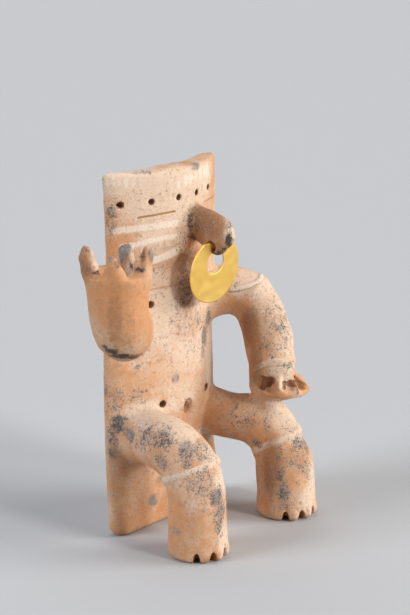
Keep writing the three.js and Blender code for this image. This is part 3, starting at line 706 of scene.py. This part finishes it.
def mark_clay(clay):
    """Stores every mark that the coats of the material follow."""
    points, outward = points_of(clay), outward_of(clay)
    stripes = strokes(points, outward, [(SHOULDER_STRIP, 0.8)], 0.8, 1.8)
    for path, wide in zip(STRIPES, STRIPE_WIDTHS):
        stripes = np.maximum(stripes, strokes(points, outward, [(path, 1)], wide * 0.5, wide * 1.3))
    strips = strokes(points, outward, [(SHOULDER_STRIP, 1), (WRIST_STRIP, 1)], 1.0, 2.2)
    for middle, down in KNEE_BANDS:
        strips = np.maximum(strips, on_knee_band(points, middle, down, 1.2, 2.4))
    lines = strokes(points, outward, [(JAW, 0.45), (SHOULDER_LINE, 0.65), (WRIST_LINE, 0.4)], 0.4, 1.1)
    # Darker brown over the lowest 3 mm, where the figure stands on the floor
    standing_edge = fade(points[:, 2], 0.8, 3) * 0.75
    keep(clay, "stripe", np.maximum(stripes, dabs(points, CREAM_DABS)))
    keep(clay, "pale_slip_and_highlight", np.maximum(dabs(points, PALE_WASH_AND_HIGHLIGHT), strips))
    keep(clay, "worn", dabs(points, WORN_ORANGE))
    keep(clay, "umber", np.maximum(dabs(points, UMBER_AND_PAINTED_SHADE), standing_edge))
    keep(clay, "stain", dabs(points, GREY_BLOTCHES))
    keep(clay, "specks_and_shadow", dabs(points, SPECKS_AND_RING_SHADOW))
    keep(clay, "soot_and_shadow", dabs(points, SOOT_AND_RING_SHADOW))
    keep(clay, "slit", strokes(points, outward, [(EYE_RIGHT, 1), (EYE_LEFT, 0.55)], 0.2, 0.75))
    keep(clay, "groove", np.maximum.reduce([lines, in_holes(points, outward), in_cuts(points)]))


# Finishes

def linear(hex_colour):
    """An sRGB hex value as the linear colour that the shader wants."""
    parts = [int(hex_colour[i:i + 2], 16) / 255 for i in (0, 2, 4)]
    return [c / 12.92 if c <= 0.04045 else ((c + 0.055) / 1.055) ** 2.4 for c in parts] + [1]


# A Mix node's colour sockets share their names with others, so they go by number
FACTOR, UNDER, OVER, MIXED = 0, 6, 7, 2


def add(tree, kind, sockets=None, **settings):
    """Adds a node with its settings, and links or sets its sockets."""
    node = tree.nodes.new("ShaderNode" + kind)
    for name, value in settings.items():
        setattr(node, name, value)
    for socket, value in (sockets or {}).items():
        if isinstance(value, bpy.types.NodeSocket):
            tree.links.new(value, node.inputs[socket])
        else:
            node.inputs[socket].default_value = value
    return node


def new_finish(name):
    """A material with its shader joined to its output, and no more."""
    finish = bpy.data.materials.new(name)
    finish.use_nodes = True
    tree = finish.node_tree
    tree.nodes.clear()
    shader = add(tree, "BsdfPrincipled")
    add(tree, "OutputMaterial", {"Surface": shader.outputs[0]})
    return finish, tree, shader


# Grains in the clay: size in mm, detail, roughness and a shift that parts each from the others.
# The dust is really finer; it is drawn as coarse as the camera can still show.
GRAINS = {
    "cloud": (34, 2, 0.55, 0), "patch": (9, 4, 0.6, 40), "blotch": (3.2, 4, 0.65, 90),
    "speck": (1.25, 3, 0.6, 150), "crumb": (1.0, 2, 0.6, 260), "dust": (0.7, 2, 0.6, 210),
}

# Coats over the fired body, from the first to the last: name, colour, the grains and marks that
# carry it with their weights, what that sum starts from, where the coat begins and where it is
# whole, and how much it then covers
FIRED_BODY = "c48b5a"
COATS = [
    # The fired body goes from orange to a browner tan
    ("tan_body", "d39a6b", {"cloud": 1}, 0, 0.35, 0.65, 1),
    ("brown_body", "a56b42", {"patch": 1}, 0, 0.47, 0.75, 0.65),
    # Thin cream slip, whole in sheltered places and broken elsewhere; also a painted highlight on the nose's
    # tip
    ("cream_slip_and_highlight", "dac3ae", {"pale_slip_and_highlight": 0.6, "patch": 0.75, "cloud": 0.5, "blotch": 0.6}, -0.27, 0.4, 1, 1),
    ("rubbed_orange", "d0925e", {"worn": 0.75, "patch": 0.5, "blotch": 0.3}, -0.35, 0.3, 0.8, 0.85),
    # A darker brown, in places painted shade and the nose ring's painted shadow
    ("umber_wash_and_shade", "8a5d3e", {"umber": 0.85, "blotch": 0.8}, -0.42, 0.2, 0.85, 0.78),
    # Small bare spots where grit has chipped the slip
    ("bare_spots", "b5855c", {"blotch": 1, "crumb": 0.5, "stripe": -0.3, "pale_slip_and_highlight": -0.08},
     -0.25, 0.48, 0.66, 0.68),
    # A fine crumb of darker and lighter grains all over
    ("dark_crumb", "8c6446", {"dust": 1}, 0, 0.5, 0.75, 0.35),
    ("light_crumb", "ecd6bf", {"crumb": 1}, 0, 0.55, 0.8, 0.25),
    # White clay stripes, broken at their edges
    ("white_stripe", "e4d6c8", {"stripe": 1, "speck": 0.5, "blotch": 1.2}, -0.86, 0.25, 0.85, 0.85),
    # Blue-grey mineral haze and blotches, then the black specks that crowd where they lie; the haze
    # is also the nose ring's painted shadow on the slab
    ("grey_haze_and_shadow", "888a8a", {"specks_and_shadow": 0.75, "blotch": 0.6, "patch": 0.6}, -0.65, 0.2, 0.85, 0.62),
    ("grey_blotch", "6f7577", {"stain": 0.85, "speck": 0.4, "blotch": 1}, -0.7, 0.3, 0.85, 0.78),
    ("black_speck", "4a4441", {"worn": -0.12, "specks_and_shadow": 0.19, "stain": 0.1, "patch": 0.2,
                               "blotch": 0.4, "speck": 1}, -0.2, 0.69, 0.95, 0.8),
    ("brown_dust", "5f4c40", {"worn": -0.1, "specks_and_shadow": 0.1, "patch": 0.14, "dust": 1}, 0, 0.68, 0.84, 0.6),
    # Nearly black soot, also laid as the nose ring's painted shadow on the slab
    ("soot_and_painted_shadow", "322d2a", {"soot_and_shadow": 0.8, "speck": 1, "blotch": 0.9}, -0.98, 0.2, 0.75, 0.92),
    # Bare clay in the cuts: golden in the eye slits, brown in holes and between toes and fingers,
    # where the brown is partly painted shade
    ("slit_clay", "a07238", {"slit": 1, "speck": 0.5}, -0.25, 0.1, 0.8, 0.9),
    ("bare_clay_and_painted_shade", "855535", {"groove": 1}, 0, 0.1, 0.9, 0.8),
]

# What the grains and coats add up to in the surface, and what each sum starts from
SURFACE = {
    # Chalky where the slip is whole, satin where hands have rubbed it
    "Roughness": ({"cream_slip_and_highlight": 0.14, "rubbed_orange": -0.12, "soot_and_painted_shadow": -0.2}, 0.7),
    # Grainy, with sunk specks and slightly raised stripes
    "Height": ({"dust": 0.5, "speck": 0.8, "black_speck": -0.35, "white_stripe": 0.2, "blotch": 1}, 0),
}


def slipped_and_burnished_clay():
    """Low-fired orange clay under a thin cream slip that has rubbed off, with mineral stains.
    It gives the eye a soft, slightly satin ground, broken by blue-grey blotches and black specks."""
    finish, tree, shader = new_finish("slipped_and_burnished_clay")
    place = add(tree, "TexCoord").outputs["Object"]
    seen = {}
    for name, (size, detail, rough, shift) in GRAINS.items():
        moved = add(tree, "Mapping", {"Vector": place, "Location": (shift * MM, shift * MM, -shift * MM)})
        seen[name] = add(tree, "TexNoise", {"Vector": moved.outputs[0], "Scale": 1 / (size * MM),
                                            "Detail": detail, "Roughness": rough}).outputs["Fac"]
    colour = linear(FIRED_BODY)
    for name, paint, carriers, total, begins, whole, cover in COATS:
        for carrier, weight in carriers.items():
            if carrier not in seen:
                seen[carrier] = add(tree, "Attribute", attribute_name=carrier).outputs["Fac"]
            total = add(tree, "Math", {0: seen[carrier], 1: weight, 2: total},
                        operation="MULTIPLY_ADD").outputs[0]
        seen[name] = add(tree, "MapRange", {"Value": total, "From Min": begins, "From Max": whole,
                                            "To Min": 0.0, "To Max": cover},
                         interpolation_type="SMOOTHSTEP").outputs[0]
        colour = add(tree, "Mix", {FACTOR: seen[name], UNDER: colour, OVER: linear(paint)},
                     data_type="RGBA").outputs[MIXED]
    tree.links.new(colour, shader.inputs["Base Color"])

    sums = {}
    for surface, (carriers, total) in SURFACE.items():
        for carrier, weight in carriers.items():
            total = add(tree, "Math", {0: seen[carrier], 1: weight, 2: total},
                        operation="MULTIPLY_ADD").outputs[0]
        sums[surface] = total
    tree.links.new(sums["Roughness"], shader.inputs["Roughness"])
    bumped = add(tree, "Bump", {"Strength": 0.6, "Distance": 0.4 * MM, "Height": sums["Height"]})
    tree.links.new(bumped.outputs[0], shader.inputs["Normal"])
    shader.inputs["IOR"].default_value = 1.5
    shader.inputs["Specular IOR Level"].default_value = 0.35
    return finish


def hammered_sheet_gold():
    """Sheet gold beaten flat and rubbed: a rich yellow with a satin gloss and fine scratches."""
    finish, tree, shader = new_finish("hammered_sheet_gold")
    place = add(tree, "TexCoord").outputs["Object"]
    drawn = add(tree, "Mapping", {"Vector": place, "Scale": (1.0, 1.0, 0.08)}).outputs[0]
    scratch = add(tree, "TexNoise", {"Vector": drawn, "Scale": 1 / (0.7 * MM), "Detail": 4.0,
                                     "Roughness": 0.7}).outputs["Fac"]
    cloud = add(tree, "TexNoise", {"Vector": place, "Scale": 1 / (9 * MM), "Detail": 3.0}).outputs["Fac"]
    tone = add(tree, "Mix", {FACTOR: cloud, UNDER: linear("f0c25c"), OVER: linear("fbdb84")},
               data_type="RGBA").outputs[MIXED]
    tree.links.new(tone, shader.inputs["Base Color"])
    shader.inputs["Metallic"].default_value = 1.0
    gloss = add(tree, "MapRange", {"Value": scratch, "From Min": 0.3, "From Max": 0.7,
                                   "To Min": 0.46, "To Max": 0.6})
    tree.links.new(gloss.outputs[0], shader.inputs["Roughness"])
    bumped = add(tree, "Bump", {"Strength": 0.35, "Distance": 0.12 * MM, "Height": scratch})
    tree.links.new(bumped.outputs[0], shader.inputs["Normal"])
    return finish


def pale_paper():
    """Matt seamless backdrop paper, a cool light grey with a barely visible tooth."""
    finish, tree, shader = new_finish("pale_paper")
    place = add(tree, "TexCoord").outputs["Object"]
    tooth = add(tree, "TexNoise", {"Vector": place, "Scale": 1 / (4 * MM), "Detail": 2.0}).outputs["Fac"]
    tone = add(tree, "Mix", {FACTOR: tooth, UNDER: linear("babdc1"), OVER: linear("bdc0c4")},
               data_type="RGBA").outputs[MIXED]
    tree.links.new(tone, shader.inputs["Base Color"])
    shader.inputs["Roughness"].default_value = 0.9
    shader.inputs["Specular IOR Level"].default_value = 0.1
    return finish


# The ring of sheet gold

# Its disc, the eye cut above the middle, the two tongues and the gap between them
RING_RADIUS = 22.6
RING_SHEET = 1.1
EYE_RADIUS = 7.7
EYE_RAISE = 5.2
TONGUE_TOP = 19.2
TONGUE_GAP = 2.4

# Where it hangs in the nose, how far its middle lies below that, and its lean and turn there
SEPTUM = (6.5, -33.5, 189.3)
RING_DROP = 17
RING_LEAN = math.pi / 2 + 0.11
RING_TURN = -0.1


def beaten_disc():
    """The flat disc, cut level at the top."""
    bpy.ops.object.select_all(action="DESELECT")
    bpy.ops.mesh.primitive_cylinder_add(vertices=160, radius=RING_RADIUS * MM, depth=RING_SHEET * MM)
    disc = bpy.context.active_object
    disc.name = disc.data.name = "hammered_gold_ring"
    bpy.ops.object.mode_set(mode="EDIT")
    bpy.ops.mesh.select_all(action="SELECT")
    bpy.ops.mesh.bisect(plane_co=(0, TONGUE_TOP * MM, 0), plane_no=(0, 1, 0), use_fill=True,
                        clear_outer=True)
    bpy.ops.object.mode_set(mode="OBJECT")
    return disc


def cut_eye_and_slit(ring):
    """Cuts the round eye, and the slit from it to the top that parts the two tongues."""
    bpy.ops.object.select_all(action="DESELECT")
    bpy.ops.mesh.primitive_cylinder_add(vertices=96, radius=EYE_RADIUS * MM, depth=5 * MM,
                                        location=(0, EYE_RAISE * MM, 0))
    eye = bpy.context.active_object
    bpy.ops.object.select_all(action="DESELECT")
    bpy.ops.mesh.primitive_cube_add(size=1, location=(0, 18 * MM, 0))
    slit = bpy.context.active_object
    slit.scale = (TONGUE_GAP * MM, 14 * MM, 5 * MM)
    bpy.context.view_layer.update()
    for cutter in (eye, slit):
        work(ring, "BOOLEAN", operation="DIFFERENCE", object=cutter, solver="EXACT")
        bpy.data.objects.remove(cutter)


def nose_ring():
    """A beaten disc with an eye cut above its middle, slit open at the top into two tongues."""
    ring = beaten_disc()
    cut_eye_and_slit(ring)
    work(ring, "REMESH", mode="VOXEL", voxel_size=0.3 * MM)
    work(ring, "SMOOTH", factor=0.5, iterations=6)
    blows = bpy.data.textures.new("hammer_blows", "CLOUDS")
    blows.noise_scale = 6 * MM
    blows.noise_depth = 0
    work(ring, "DISPLACE", texture=blows, texture_coords="LOCAL", direction="Z", strength=0.35 * MM,
         mid_level=0.5)
    bpy.data.textures.remove(blows)
    x, y, z = points_of(ring).T
    y = y - RING_DROP
    y, z = (y * math.cos(RING_LEAN) - z * math.sin(RING_LEAN),
            y * math.sin(RING_LEAN) + z * math.cos(RING_LEAN))
    x, y = (x * math.cos(RING_TURN) - y * math.sin(RING_TURN),
            x * math.sin(RING_TURN) + y * math.cos(RING_TURN))
    set_points(ring, np.stack([x, y, z], 1) + SEPTUM)
    return ring


# The figure in place of its plain solids

clay = packed_clay()
add_pats(clay)
rub_even(clay)
pull(clay)
refine(clay, fine_places(points_of(clay), outward_of(clay)))
hand_marks(clay)
unevenness(clay)
triangles = sum(len(face.vertices) - 2 for face in clay.data.polygons)
if triangles > MOST_TRIANGLES:
    work(clay, "DECIMATE", ratio=MOST_TRIANGLES / triangles)
mark_clay(clay)
only(clay)
bpy.ops.object.shade_smooth()
clay.data.materials.append(slipped_and_burnished_clay())
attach(clay, "root")
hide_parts("clay_figure")

ring = nose_ring()
only(ring)
bpy.ops.object.shade_smooth_by_angle(angle=math.radians(50))
ring.data.materials.append(hammered_sheet_gold())
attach(ring, "root")
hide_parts("gold_nose_ring")


# Floor, light and camera

def paper_floor():
    """Backdrop paper laid flat and running far behind the figure."""
    bpy.ops.object.select_all(action="DESELECT")
    bpy.ops.mesh.primitive_plane_add(size=6)
    paper = bpy.context.active_object
    paper.name = paper.data.name = "backdrop_paper"
    paper.data.materials.append(pale_paper())


def face(thing, target):
    """Turns a lamp or camera towards a place."""
    thing.rotation_euler = (Vector(target) - thing.location).to_track_quat("-Z", "Y").to_euler()


def soft_light(name, azimuth, elevation, spread, strength, tint):
    """Even, diffused light from one side of the studio; spread is how wide it looks, in degrees."""
    lamp = bpy.data.lights.new(name, "SUN")
    lamp.angle = math.radians(spread)
    lamp.energy = strength
    lamp.color = linear(tint)[:3]
    holder = bpy.data.objects.new(name, lamp)
    scene.collection.objects.link(holder)
    a, e = math.radians(azimuth), math.radians(elevation)
    holder.location = 2 * Vector((math.sin(a) * math.cos(e), -math.cos(a) * math.cos(e), math.sin(e)))
    face(holder, (0, 0, 0))


def pale_room():
    """A room that gives little light of its own; past the paper the camera sees its pale wall."""
    room = bpy.data.worlds.new("pale_room")
    room.use_nodes = True
    tree = room.node_tree
    air = tree.nodes["Background"]
    air.inputs["Color"].default_value = linear("e6e9ee")
    air.inputs["Strength"].default_value = 0.09
    wall = add(tree, "Background", {"Color": linear("c8c9cc")})
    ray = add(tree, "LightPath")
    blend = add(tree, "MixShader", {"Fac": ray.outputs["Is Camera Ray"], 1: air.outputs[0],
                                    2: wall.outputs[0]})
    tree.links.new(blend.outputs[0], tree.nodes["World Output"].inputs["Surface"])
    scene.world = room


# The camera stands where the photograph was taken; its lens gives the photograph's angle, from
# the focal length in pixels and the photograph's height in pixels
CAMERA = Vector((-1037.2, -835.4, 509.7)) * MM
AIM = Vector((17.56, -15.59, 141.88)) * MM
FOCAL_PIXELS = 2100
PHOTO_HEIGHT_PIXELS = 615
FILM = 36


def photo_camera():
    """The photograph's camera."""
    lens = bpy.data.cameras.new("camera")
    lens.sensor_width = FILM
    lens.lens = FOCAL_PIXELS / PHOTO_HEIGHT_PIXELS * FILM
    lens.clip_start = 0.05
    lens.clip_end = 50
    camera = bpy.data.objects.new("camera", lens)
    scene.collection.objects.link(camera)
    camera.location = CAMERA
    face(camera, AIM)
    scene.camera = camera


paper_floor()
soft_light("front_light", azimuth=2, elevation=22, spread=14, strength=1.95, tint="fff8f0")
soft_light("right_light", azimuth=38, elevation=24, spread=34, strength=2.28, tint="fffaf4")
soft_light("left_light", azimuth=-118, elevation=28, spread=30, strength=1.9, tint="f6f8ff")
soft_light("top_light", azimuth=150, elevation=64, spread=60, strength=1.08, tint="ffffff")
pale_room()
photo_camera()
scene.view_settings.view_transform = "Standard"
